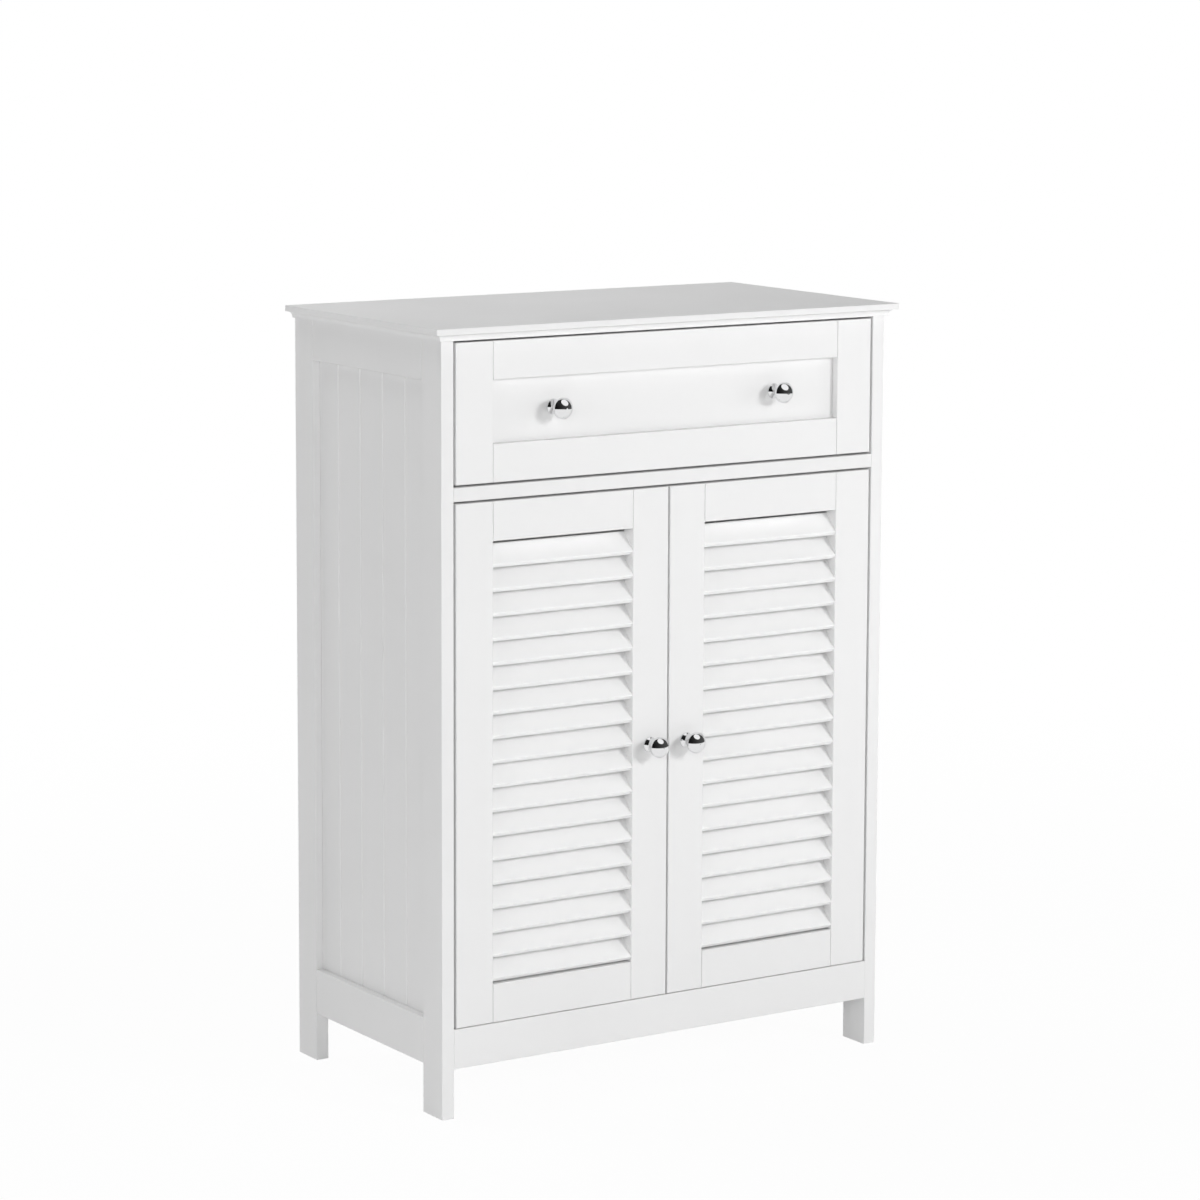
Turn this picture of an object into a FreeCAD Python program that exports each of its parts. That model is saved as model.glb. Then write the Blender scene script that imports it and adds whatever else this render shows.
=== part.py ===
"""Louvred door cabinet: one drawer over two louvred doors, on four legs.

Millimetres, +Z up, standing on Z = 0, its front towards -Y.  X = 0 is the
middle of the width and Y = 0 the middle of the depth with the knobs.
Paired pieces are built on the right (+X) and mirrored to the left.
"""
import FreeCAD, Part
import math
import os

V = FreeCAD.Vector

# ---- Overall ---------------------------------------------------------------
overall_width = 600.0
overall_depth = 328.0
overall_height = 850.0
edge_ease = 0.5             # chamfer on the painted arrises
joint_line_width = 0.4      # fine open line where a rail meets a stile, on the front
side_joint_width = 0.8      # and on the sides
joint_line_depth = 1.6
panel_play = 0.3            # before a panel's face, in its groove

# ---- Top board -------------------------------------------------------------
top_thickness = 14.0
top_overhang = 12.0         # past the body at the front and at both sides
top_fillet_height = 6.5     # square band above the cove
top_cove_step = 1.5         # from the band back to the cove

# ---- Side frames -----------------------------------------------------------
side_thickness = 15.0
side_stile_width = 40.0
side_top_rail_height = 44.0
side_bottom_rail_height = 50.5
side_tenon_thickness = 5.0
side_tenon_length = 6.0
leg_height = 54.0           # floor to the underside of rails and apron
bead_panel_thickness = 6.0
bead_panel_tongue = 4.0     # how far the panel reaches into the frame
bead_first = 50.0           # from the front stile to the first V groove
bead_pitch = 48.4
bead_count = 4
bead_width = 2.8
bead_depth = 1.8

# ---- Boards between the sides ----------------------------------------------
apron_height = 43.5
apron_thickness = 15.0
floor_thickness = 15.0
divider_thickness = 15.0
shelf_thickness = 15.0
shelf_side_clearance = 1.0
shelf_front_setback = 10.0  # behind the doors
shelf_back_clearance = 1.0
back_thickness = 3.0
back_inset = 9.0            # from the rear of the body to the back panel
back_tongue = 5.0           # how far the back reaches into its grooves
groove_clearance = 0.2

# ---- Doors and drawer front ------------------------------------------------
reveal = 2.5                # gap above the doors, and above and below the drawer front
side_reveal = 3.0           # beside the doors and the drawer front
door_foot_gap = 1.0         # under the doors
meeting_gap = 2.5           # gap between the two doors
front_thickness = 18.0
door_stile_width = 45.5
door_top_rail_height = 42.5
door_bottom_rail_height = 42.1
drawer_front_height = 150.0
drawer_stile_width = 45.5
drawer_rail_height = 41.0
drawer_panel_thickness = 6.0
drawer_panel_recess = 9.0
drawer_panel_tongue = 6.0
door_tenon_thickness = 8.0
door_tenon_length = 20.0
tenon_shoulder = 8.0        # from the edges of a rail to its tenon

# ---- Louvre slats ----------------------------------------------------------
slat_count = 18
slat_thickness = 7.0
slat_round = 1.0            # on the two long edges of the nose
slat_slope = 47.5           # degrees above the horizontal, front to rear
slat_setback = 0.5          # behind the front face of the frame
slat_first_nose = 3.7       # middle of the lowest nose above the bottom rail
slat_head_space = 4.3       # extra room over the top slat
tenon_length = 5.0
tenon_thickness = 4.0
tenon_width = 12.0
tenon_inset = 3.0           # from the nose to the tenon
tenon_clearance = 0.1

# ---- Knobs -----------------------------------------------------------------
knob_projection = 28.0
knob_radius = 11.5
knob_rim_back = 17.9        # from the mounting face to the back of the rim
knob_rim_front = 21.0
knob_base_radius = 8.6
knob_base_edge = 1.2        # height of the base's edge
knob_base_taper = 0.6
knob_neck_radius = 4.8
knob_cove_end = 6.0         # from the mounting face to the neck
knob_cove_bow = 1.3         # how full the cove is at its middle
knob_flare_start = 12.5     # where the neck opens out under the head
knob_under_ledge = 2.4      # flare's end inside the rim
knob_under_rise = 0.8
knob_screw_radius = 2.0
knob_screw_reach = 12.0     # into the knob
knob_screw_head_radius = 4.0
knob_screw_head = 2.4
drawer_knob_spacing = 288.0

# ---- Single-pivot cup hinges -----------------------------------------------
hinge_from_end = 60.0       # from the door's top and bottom edge to the cup
cup_radius = 17.5
cup_depth = 13.8
cup_wall = 0.9
cup_from_edge = 22.0        # cup centre from the door's edge
cup_flange_radius = 20.0
cup_flange_thickness = 1.0
cup_screw_spacing = 45.0
cup_ear_width = 13.0
cup_ear_margin = 5.5        # past the screws
pin_radius = 2.0
pin_from_edge = 15.5        # pivot from the door's edge
pin_from_front = 9.0        # pivot from the door's front face
pin_clearance = 0.05
arm_thickness = 1.5
arm_width = 14.0
arm_reach_in = 12.4         # gooseneck, from the pivot towards the door's middle
arm_reach_back = 19.5       # gooseneck, from the pivot to the rear
arm_bend_radius = 2.4
arm_foot_length = 9.0
plate_thickness = 2.2
plate_depth = 16.0
plate_height = 46.0
plate_screw_spacing = 34.0
plate_edge_margin = 2.5     # from the rear edge of the front stile

# ---- Wood screws -----------------------------------------------------------
screw_radius = 1.75
screw_length = 13.0
screw_head_radius = 3.4
screw_head = 1.2

# ---- Drawer box ------------------------------------------------------------
box_side_thickness = 12.0
box_side_height = 100.0
box_back_clearance = 13.0   # from the box to the back panel
box_above_divider = 16.0
box_fitting_heights = (35.0, 80.0)      # above the lower edge of the box
drawer_bottom_thickness = 3.0
drawer_bottom_height = 10.0     # above the lower edge of the box
drawer_bottom_tongue = 5.0
back_screw_length = 30.0

# ---- Roller runners --------------------------------------------------------
runner_gap = 12.5           # between the side frame and the drawer box
runner_back_clearance = 8.0 # from a channel to the back panel
runner_sheet = 1.0
runner_setback = 2.0        # behind the drawer front
rail_end_margin = 3.0       # from a rail's rear end to that of the box
rail_under = 12.0           # width of the leg under the box side
roller_radius = 8.5
roller_width = 7.0
roller_play = 0.3           # between a roller and what it runs on
lip_play = 0.6              # between the rear roller and the channel's lip
axle_radius = 2.0
axle_clearance = 0.05
axle_head_radius = 3.4
axle_head = 0.8
front_roller_in = 10.0      # from the channel's front end
rear_roller_in = 12.0       # from the rail's rear end
floor_clearance = 1.0       # between the channel's floor and the rail's web
lip_clearance = 3.5         # between the channel's lip and the rail's web
lip_behind_roller = 1.5
flange_clearance = 1.5      # between the rail's flange and the channel's web
channel_screw_front = 3.6   # from the channel's front end
channel_screw_rear = 12.0   # from the rear stile's front edge
rail_screw_front = 25.0     # from the rail's front end
rail_screw_rear = 40.0      # from the rail's rear end
rail_screw_length = 9.0

# ---- Cam fittings, dowels and shelf pins -----------------------------------
cam_radius = 7.5
cam_depth = 12.5
cam_distance = 24.0         # from the joint to the cam's centre
cam_slot_width = 1.6
cam_slot_depth = 2.0
bolt_radius = 3.0
bolt_neck_radius = 1.8
bolt_embed = 10.0           # thread in the receiving board
bolt_neck = 3.0             # length of the neck inside the cam
bolt_head = 2.0
bolt_clearance = 0.5
front_bolt_inset = 26.5     # carcass bolts behind the front of the body
rear_bolt_inset = 28.5      # and before its rear
rear_top_bolt_inset = 21.0
apron_bolt_height = 17.5    # above the apron's foot
fit_clearance = 0.1
dowel_radius = 4.0
dowel_length = 30.0
dowel_embed = 9.0
dowel_inset = 60.0          # from a stile to the dowel in a rail
divider_dowel_offset = 16.0 # before the divider's front bolt
apron_dowel_height = 33.0   # above the apron's foot
small_cam_radius = 6.0
small_cam_depth = 10.2
shelf_pin_radius = 2.5
shelf_pin_embed = 8.0
shelf_pin_reach = 9.0
shelf_hole_pitch = 32.0
shelf_hole_rows = 3
shelf_pin_from_stile_edge = 7.0

# ---- Planes and levels worked out from the sizes above ----------------------
body_depth = overall_depth - top_overhang
body_side = overall_width / 2 - top_overhang
inner_side = body_side - side_thickness
front = (knob_projection - body_depth) / 2
rear = front + body_depth
stile_back = front + side_stile_width
rear_stile_front = rear - side_stile_width
door_back = front + front_thickness
back_rear = rear - back_inset
back_front = back_rear - back_thickness

body_top = overall_height - top_thickness
floor_top = leg_height + apron_height
drawer_top = body_top - reveal
drawer_foot = drawer_top - drawer_front_height
divider_top = drawer_foot - reveal
divider_foot = divider_top - divider_thickness
door_top = divider_foot - reveal
door_foot = floor_top + door_foot_gap
front_edge = inner_side - side_reveal       # outer edge of doors and drawer
meeting_edge = meeting_gap / 2
louvre_foot = door_foot + door_bottom_rail_height
louvre_top = door_top - door_top_rail_height
slat_pitch = (louvre_top - louvre_foot - slat_head_space) / slat_count
shelf_middle = (floor_top + divider_foot) / 2

box_outer = inner_side - runner_gap
box_inner = box_outer - box_side_thickness
box_foot = divider_top + box_above_divider
box_top = box_foot + box_side_height
box_rear = back_front - box_back_clearance
drawer_bottom_foot = box_foot + drawer_bottom_height

hinge_x = front_edge - pin_from_edge
hinge_y = front + pin_from_front
hinge_levels = (door_foot + hinge_from_end, door_top - hinge_from_end)

channel_front = door_back + runner_setback
channel_rear = back_front - runner_back_clearance
rail_rear = box_rear - rail_end_margin
rail_foot = box_foot - runner_sheet
rear_roller_y = rail_rear - rear_roller_in
front_roller_y = channel_front + front_roller_in
rear_roller_z = rail_foot + roller_radius / 2
channel_floor = rear_roller_z - roller_radius - roller_play
channel_lip = rear_roller_z + roller_radius + lip_play
rail_flange_foot = channel_lip + runner_sheet + roller_play
front_roller_z = rail_flange_foot - roller_play - roller_radius
rail_outer = box_outer + runner_sheet
channel_web = inner_side - runner_sheet
roller_side_gap = (channel_web - rail_outer - roller_width) / 2
roller_inner = rail_outer + roller_side_gap
roller_outer = roller_inner + roller_width

nodes = {}


# ---- Small helpers ---------------------------------------------------------
def add(name, *solids):
    """Keep one named node made of one or more separate solids."""
    nodes[name] = solids[0] if len(solids) == 1 else Part.makeCompound(solids)


def mirrored(shape):
    """The same shape on the other side of the cabinet."""
    return shape.mirror(V(0, 0, 0), V(1, 0, 0))


def add_pair(name, *solids):
    """Keep the right-hand node and its mirror image on the left."""
    add("right_" + name, *solids)
    add("left_" + name, *[mirrored(solid) for solid in solids])


def both_sides(solids):
    """The given solids and their mirror images, as one list."""
    return list(solids) + [mirrored(solid) for solid in solids]


def block(x0, x1, y0, y1, z0, z1):
    """A box between six planes."""
    return Part.makeBox(x1 - x0, y1 - y0, z1 - z0, V(x0, y0, z0))


def rod(start, direction, radius, length):
    """A round bar from a point along a direction."""
    return Part.makeCylinder(radius, length, start, direction)


def stepped_rod(start, direction, steps):
    """A turned bar: each step is a radius and a length, one after another."""
    axis = V(direction).normalize()
    bar = None
    place = V(start)
    for radius, length in steps:
        piece = rod(place, axis, radius, length)
        bar = piece if bar is None else bar.fuse(piece)
        place = place + axis * length
    return bar.removeSplitter()


def plate_between(points, offset):
    """A flat outline pushed through a distance."""
    outline = Part.makePolygon(points + [points[0]])
    return Part.Face(outline).extrude(offset)


def edges_on(solid, axis, value):
    """The edges of a solid that lie in the plane axis = value."""
    tolerance = 0.001
    picked = []
    for edge in solid.Edges:
        gaps = [abs(getattr(vertex.Point, axis) - value) for vertex in edge.Vertexes]
        if max(gaps) < tolerance:
            picked.append(edge)
    return picked


def eased(solid, *planes):
    """Take the sharp arris off every edge in the given planes."""
    for axis, value in planes:
        solid = solid.makeChamfer(edge_ease, edges_on(solid, axis, value))
    return solid


def joint_lines(rail, along):
    """Open a fine line at both ends of a rail that runs along x or y, on its outer face."""
    box = rail.BoundBox
    depth = joint_line_depth
    if along == "x":
        width = joint_line_width
        slots = [block(x, x + width, box.YMin, box.YMin + depth, box.ZMin, box.ZMax)
                 for x in (box.XMin, box.XMax - width)]
    else:
        width = side_joint_width
        slots = [block(box.XMax - depth, box.XMax, y, y + width, box.ZMin, box.ZMax)
                 for y in (box.YMin, box.YMax - width)]
    return rail.cut(slots)


# ---- Joinery ---------------------------------------------------------------
class Joinery:
    """Fittings of one body, with the holes that they need."""

    def __init__(self):
        self.cams = []
        self.bolts = []
        self.dowels = []

    def cam_joint(self, seat, inward, face, panel, board, radius, depth):
        """Join a panel's end to a board's face, and return both, drilled.

        seat is the point where the bolt crosses the joint, inward points from
        the board into the panel, and face points out of the panel's side that
        the cam is pushed in from.
        """
        board = board.cut(rod(seat, -inward, bolt_radius, bolt_embed))
        centre = seat + inward * cam_distance
        half = panel_half_thickness(panel, centre, face)
        mouth = centre + face * half
        panel = panel.cut(rod(mouth, -face, radius + fit_clearance, depth))
        bore = rod(seat, inward, bolt_radius + bolt_clearance, cam_distance)
        panel = panel.cut(bore)
        cam = rod(mouth, -face, radius, depth - fit_clearance)
        cam = cam.cut(bore)
        cam = cam.cut(screwdriver_slot(mouth, face, inward, radius))
        self.cams.append(cam)
        self.bolts.append(cam_bolt(seat, inward, radius))
        return panel, board

    def dowel_joint(self, seat, inward, panel, board):
        """Join a panel's end to a board's face with a wooden dowel."""
        reach = dowel_length - dowel_embed
        hole = dowel_radius + fit_clearance
        board = board.cut(rod(seat, -inward, hole, dowel_embed + fit_clearance))
        panel = panel.cut(rod(seat, inward, hole, reach + fit_clearance))
        start = seat - inward * dowel_embed
        self.dowels.append(rod(start, inward, dowel_radius, dowel_length))
        return panel, board


def panel_half_thickness(panel, centre, face):
    """Distance from the middle of a panel to the side that a cam enters."""
    box = panel.BoundBox
    highest = V(box.XMax, box.YMax, box.ZMax)
    lowest = V(box.XMin, box.YMin, box.ZMin)
    corner = highest if face.x + face.y + face.z > 0 else lowest
    return (corner - centre).dot(face)


def screwdriver_slot(mouth, face, along, radius):
    """The slot across the head of a cam."""
    across = face.cross(along)
    corner = mouth - along * radius - across * (cam_slot_width / 2)
    points = [corner, corner + along * (2 * radius)]
    points.append(points[1] + across * cam_slot_width)
    points.append(corner + across * cam_slot_width)
    return plate_between(points, face * -cam_slot_depth)


def cam_bolt(seat, inward, radius):
    """The bolt that a cam pulls on, with its neck and head inside the cam."""
    shank = bolt_embed + cam_distance - radius
    steps = [(bolt_radius, shank), (bolt_neck_radius, bolt_neck), (bolt_radius, bolt_head)]
    return stepped_rod(seat - inward * bolt_embed, inward, steps)


def tenon_joint(rail, stile, tenon):
    """Join a rail to a stile: the tenon is part of one and a mortise in the other."""
    return rail.fuse(tenon).removeSplitter(), stile.cut(tenon)


def wood_screw(seat, direction, length):
    """A screw whose head stands on the surface at seat."""
    start = seat - direction * screw_head
    steps = [(screw_head_radius, screw_head), (screw_radius, length)]
    return stepped_rod(start, direction, steps)


def screw_hole(seat, direction, length):
    """The hole that wood_screw fills."""
    return rod(seat, direction, screw_radius, length)


# ---- Carcass ---------------------------------------------------------------
def top_board():
    """The top, with a square band and a cove round its front and sides."""
    half = overall_width / 2
    edge = front - top_overhang
    board = block(-half, half, edge, rear, body_top, overall_height)
    board = eased(board, ("z", overall_height))
    cove_radius = top_thickness - top_fillet_height
    band_foot = body_top + cove_radius
    long = overall_width + overall_depth
    strip = block(-half, half, edge, edge + top_cove_step, body_top, band_foot)
    hollow = rod(V(-long / 2, edge + top_cove_step, body_top), V(1, 0, 0), cove_radius, long)
    board = board.cut([strip, hollow])
    side_line = half - top_cove_step
    strip = block(side_line, half, edge, rear, body_top, band_foot)
    hollow = rod(V(side_line, edge - long / 2, body_top), V(0, 1, 0), cove_radius, long)
    for cutter in both_sides([strip, hollow]):
        board = board.cut(cutter)
    return board.cut(back_groove())


def back_groove():
    """The groove round the back panel, in the top, the floor and the stiles."""
    reach = back_tongue + groove_clearance
    return block(-inner_side - reach, inner_side + reach,
                 back_front - groove_clearance, back_rear + groove_clearance,
                 floor_top - reach, body_top + reach)


def back_panel():
    """The thin back, held in grooves on all four edges."""
    return block(-inner_side - back_tongue, inner_side + back_tongue,
                 back_front, back_rear, floor_top - back_tongue, body_top + back_tongue)


def bead_panel():
    """The recessed side panel, with V grooves that divide it into boards."""
    outer = inner_side + bead_panel_thickness
    rail_top = leg_height + side_bottom_rail_height
    rail_foot_high = body_top - side_top_rail_height
    low = rail_top - bead_panel_tongue
    high = rail_foot_high + bead_panel_tongue
    panel = block(inner_side, outer, stile_back - bead_panel_tongue,
                  rear_stile_front + bead_panel_tongue, low, high)
    half = bead_width / 2
    for index in range(bead_count):
        y = stile_back + bead_first + index * bead_pitch
        vee = [V(outer, y - half, low), V(outer, y + half, low), V(outer - bead_depth, y, low)]
        panel = panel.cut(plate_between(vee, V(0, 0, high - low)))
    return panel


def side_frame():
    """Front stile, rear stile, top rail and bottom rail of the right side."""
    outer = body_side
    rail_top = leg_height + side_bottom_rail_height
    rail_foot_high = body_top - side_top_rail_height
    front_stile = block(inner_side, outer, front, stile_back, 0, body_top)
    front_stile = eased(front_stile, ("x", outer), ("y", front))
    rear_stile = block(inner_side, outer, rear_stile_front, rear, 0, body_top)
    rear_stile = eased(rear_stile, ("x", outer))
    top_rail = block(inner_side, outer, stile_back, rear_stile_front, rail_foot_high, body_top)
    top_rail = eased(joint_lines(top_rail, "y"), ("x", outer))
    bottom_rail = block(inner_side, outer, stile_back, rear_stile_front, leg_height, rail_top)
    bottom_rail = eased(joint_lines(bottom_rail, "y"), ("x", outer))
    rear_stile = rear_stile.cut(back_groove())
    panel_space = bead_panel_space()
    members = [front_stile, rear_stile, top_rail, bottom_rail]
    front_stile, rear_stile, top_rail, bottom_rail = [
        member.cut(panel_space) for member in members]
    for y in (stile_back - side_tenon_length, rear_stile_front):
        upper = side_tenon(y, rail_foot_high, body_top)
        lower = side_tenon(y, leg_height, rail_top)
        if y < stile_back:
            top_rail, front_stile = tenon_joint(top_rail, front_stile, upper)
            bottom_rail, front_stile = tenon_joint(bottom_rail, front_stile, lower)
        else:
            top_rail, rear_stile = tenon_joint(top_rail, rear_stile, upper)
            bottom_rail, rear_stile = tenon_joint(bottom_rail, rear_stile, lower)
    return front_stile, rear_stile, top_rail, bottom_rail


def side_tenon(y, rail_low, rail_high):
    """A tenon between the levels of a side rail, outside the bead panel."""
    outer = (inner_side + bead_panel_thickness + body_side + side_tenon_thickness) / 2
    return block(outer - side_tenon_thickness, outer, y, y + side_tenon_length,
                 rail_low + tenon_shoulder, rail_high - tenon_shoulder)


def bead_panel_space():
    """The rebate inside the side frame that the bead panel fills."""
    box = bead_panel().BoundBox
    return block(box.XMin, box.XMax + panel_play, box.YMin, box.YMax, box.ZMin, box.ZMax)


def divider_board():
    """The board between the drawer and the doors, its edge flush in front."""
    board = block(-inner_side, inner_side, front, back_front - groove_clearance,
                  divider_foot, divider_top)
    return eased(board, ("y", front))


def floor_board():
    """The floor of the cupboard, behind the apron."""
    board = block(-inner_side, inner_side, front + apron_thickness, rear,
                  floor_top - floor_thickness, floor_top)
    return board.cut(back_groove())


def apron_board():
    """The board between the front legs, below the doors."""
    board = block(-inner_side, inner_side, front, front + apron_thickness,
                  leg_height, floor_top)
    return eased(board, ("y", front))


def build_carcass():
    """Make the carcass boards and the fittings that hold them together."""
    front_stile, rear_stile, top_rail, bottom_rail = side_frame()
    top = top_board()
    divider = divider_board()
    floor = floor_board()
    apron = apron_board()
    joinery = Joinery()
    out = V(-1, 0, 0)
    down = V(0, 0, -1)
    cam = (cam_radius, cam_depth)
    front_bolt_y = front + front_bolt_inset
    rear_bolt_y = rear - rear_bolt_inset
    dowel_y = (stile_back + dowel_inset, rear_stile_front - dowel_inset)

    middle = divider_foot + divider_thickness / 2
    seat = V(inner_side, front_bolt_y, middle)
    divider, front_stile = joinery.cam_joint(seat, out, down, divider, front_stile, *cam)
    seat = V(inner_side, rear_bolt_y, middle)
    divider, rear_stile = joinery.cam_joint(seat, out, down, divider, rear_stile, *cam)
    seat = V(inner_side, front_bolt_y - divider_dowel_offset, middle)
    divider, front_stile = joinery.dowel_joint(seat, out, divider, front_stile)

    middle = floor_top - floor_thickness / 2
    seat = V(inner_side, front_bolt_y, middle)
    floor, front_stile = joinery.cam_joint(seat, out, down, floor, front_stile, *cam)
    seat = V(inner_side, rear_bolt_y, middle)
    floor, rear_stile = joinery.cam_joint(seat, out, down, floor, rear_stile, *cam)
    for y in dowel_y:
        seat = V(inner_side, y, middle)
        floor, bottom_rail = joinery.dowel_joint(seat, out, floor, bottom_rail)

    apron_y = front + apron_thickness / 2
    seat = V(inner_side, apron_y, leg_height + apron_bolt_height)
    apron, front_stile = joinery.cam_joint(seat, out, V(0, 1, 0), apron, front_stile, *cam)
    seat = V(inner_side, apron_y, leg_height + apron_dowel_height)
    apron, front_stile = joinery.dowel_joint(seat, out, apron, front_stile)

    stile_middle = inner_side + side_thickness / 2
    seat = V(stile_middle, front + side_stile_width / 2, body_top)
    front_stile, top = joinery.cam_joint(seat, down, out, front_stile, top, *cam)
    seat = V(stile_middle, rear - rear_top_bolt_inset, body_top)
    rear_stile, top = joinery.cam_joint(seat, down, out, rear_stile, top, *cam)
    for y in dowel_y:
        seat = V(stile_middle, y, body_top)
        top_rail, top = joinery.dowel_joint(seat, down, top_rail, top)

    front_stile = drill_side(front_stile)
    rear_stile = drill_side(rear_stile)
    add("top_board", symmetric(top))
    add("divider_panel", symmetric(divider))
    add("floor_panel", symmetric(floor))
    add("front_apron", symmetric(apron))
    add("back_panel", back_panel())
    add_pair("side_front_stile", front_stile)
    add_pair("side_rear_stile", rear_stile)
    add_pair("side_top_rail", top_rail)
    add_pair("side_bottom_rail", bottom_rail)
    add_pair("side_bead_panel", bead_panel())
    add("cam_locks", *both_sides(joinery.cams))
    add("cam_bolts", *both_sides(joinery.bolts))
    add("dowels", *both_sides(joinery.dowels))


def symmetric(board):
    """A board drilled on the right gets the same holes on the left."""
    return board.common(mirrored(board))


def drill_side(stile):
    """Shelf-pin holes and screw holes in the inner face of a side stile."""
    for seat in shelf_pin_seats(shelf_hole_rows):
        stile = stile.cut(rod(seat, V(1, 0, 0), shelf_pin_radius, shelf_pin_embed))
    for seat in cabinet_screw_seats():
        stile = stile.cut(screw_hole(seat, V(1, 0, 0), screw_length))
    return stile


# ---- Shelf -----------------------------------------------------------------
def shelf_pin_seats(rows):
    """Where the pin holes meet the inner face: rows high, front and rear."""
    seats = []
    lines = (stile_back - shelf_pin_from_stile_edge,
             rear_stile_front + shelf_pin_from_stile_edge)
    level = shelf_middle - shelf_thickness / 2 - shelf_pin_radius
    for row in range(rows):
        z = level + (row - (rows - 1) / 2) * shelf_hole_pitch
        seats.extend(V(inner_side, y, z) for y in lines)
    return seats


def build_shelf():
    """The loose shelf and the four pins it lies on."""
    half = inner_side - shelf_side_clearance
    foot = shelf_middle - shelf_thickness / 2
    shelf = block(-half, half, door_back + shelf_front_setback,
                  back_front - shelf_back_clearance, foot, foot + shelf_thickness)
    add("shelf", eased(shelf, ("y", door_back + shelf_front_setback)))
    pins = []
    for seat in shelf_pin_seats(1):
        start = seat - V(shelf_pin_reach, 0, 0)
        pins.append(rod(start, V(1, 0, 0), shelf_pin_radius, shelf_pin_reach + shelf_pin_embed))
    add("shelf_pins", *both_sides(pins))


# ---- Doors -----------------------------------------------------------------
def slat_axes():
    """Unit vectors along a slat, front to rear, and square to its face."""
    slope = math.radians(slat_slope)
    along = V(0, math.cos(slope), math.sin(slope))
    across = V(0, -math.sin(slope), math.cos(slope))
    return along, across


def slat_nose_depth():
    """How far the middle of a nose lies behind the foremost point of its upper edge."""
    slope = math.radians(slat_slope)
    flat_half = slat_thickness / 2 - slat_round
    return slat_round + flat_half * math.sin(slope) - slat_round * math.cos(slope)


def slat_section(nose):
    """Outline of a slat: square nose with eased edges in front, cut upright at the rear."""
    along, across = slat_axes()
    half = slat_thickness / 2
    upper = nose + across * half
    lower = nose - across * half
    upper_end = upper + along * ((door_back - upper.y) / along.y)
    lower_end = lower + along * ((door_back - lower.y) / along.y)
    easing = along * slat_round
    flat_upper = upper - across * slat_round
    flat_lower = lower + across * slat_round
    bulge = slat_round / math.sqrt(2)
    upper_mid = flat_upper + easing + (across - along) * bulge
    lower_mid = flat_lower + easing - (across + along) * bulge
    edges = [Part.Arc(flat_upper, upper_mid, upper + easing).toShape(),
             Part.makeLine(upper + easing, upper_end),
             Part.makeLine(upper_end, lower_end),
             Part.makeLine(lower_end, lower + easing),
             Part.Arc(lower + easing, lower_mid, flat_lower).toShape(),
             Part.makeLine(flat_lower, flat_upper)]
    return Part.Face(Part.Wire(edges))


def tenon_bar(nose, x0, x1, clearance):
    """The tenon of a slat, or with a clearance the mortise for it."""
    along, across = slat_axes()
    half = tenon_thickness / 2 + clearance
    start = nose + along * (tenon_inset - clearance)
    end = nose + along * (tenon_inset + tenon_width + clearance)
    corners = [start - across * half, end - across * half,
               end + across * half, start + across * half]
    corners = [V(x0, corner.y, corner.z) for corner in corners]
    return plate_between(corners, V(x1 - x0, 0, 0))


def build_slats(x0, x1):
    """All slats between two stiles, and the cutters for their mortises."""
    first = V(x0, front + slat_setback + slat_nose_depth(), louvre_foot + slat_first_nose)
    body = slat_section(first).extrude(V(x1 - x0, 0, 0))
    tenons = tenon_bar(first, x0 - tenon_length, x1 + tenon_length, 0)
    slat = body.fuse(tenons).removeSplitter()
    deeper = tenon_length + tenon_clearance
    mortise = tenon_bar(first, x0 - deeper, x1 + deeper, tenon_clearance)
    steps = [V(0, 0, index * slat_pitch) for index in range(slat_count)]
    slats = [slat.translated(step) for step in steps]
    mortises = [mortise.translated(step) for step in steps]
    return slats, mortises


def build_door():
    """The right door and, mirrored, the left one."""
    hinge_inner = front_edge - door_stile_width
    meeting_outer = meeting_edge + door_stile_width
    on_front = ("y", front)
    hinge_stile = eased(block(hinge_inner, front_edge, front, door_back, door_foot, door_top),
                        on_front)
    meeting_stile = eased(block(meeting_edge, meeting_outer, front, door_back,
                                door_foot, door_top), on_front)
    bottom_rail = block(meeting_outer, hinge_inner, front, door_back, door_foot, louvre_foot)
    bottom_rail = eased(joint_lines(bottom_rail, "x"), on_front)
    top_rail = block(meeting_outer, hinge_inner, front, door_back, louvre_top, door_top)
    top_rail = eased(joint_lines(top_rail, "x"), on_front)
    for foot, head in ((door_foot, louvre_foot), (louvre_top, door_top)):
        inner, outer = door_tenons(meeting_outer, hinge_inner, foot, head)
        if foot == door_foot:
            bottom_rail, meeting_stile = tenon_joint(bottom_rail, meeting_stile, inner)
            bottom_rail, hinge_stile = tenon_joint(bottom_rail, hinge_stile, outer)
        else:
            top_rail, meeting_stile = tenon_joint(top_rail, meeting_stile, inner)
            top_rail, hinge_stile = tenon_joint(top_rail, hinge_stile, outer)
    slats, mortises = build_slats(meeting_outer, hinge_inner)
    hinge_stile = hinge_stile.cut(mortises)
    meeting_stile = meeting_stile.cut(mortises)
    knob_seat = V((meeting_edge + meeting_outer) / 2, front, (door_foot + door_top) / 2)
    screw = knob_screw(knob_seat, front_thickness)
    meeting_stile = meeting_stile.cut(knob_screw_hole(knob_seat, front_thickness))
    cups, cup_screws = hinge_cups()
    for level in hinge_levels:
        hinge_stile = hinge_stile.cut(cup_hole(level))
    hinge_stile = hinge_stile.cut(cup_screws)
    add_pair("door_hinge_stile", hinge_stile)
    add_pair("door_meeting_stile", meeting_stile)
    add_pair("door_top_rail", top_rail)
    add_pair("door_bottom_rail", bottom_rail)
    add_pair("door_slats", *slats)
    add_pair("door_knob", knob(knob_seat))
    add_pair("hinge_cups", *cups)
    add_pair("door_screws", screw, *cup_screws)


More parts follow.
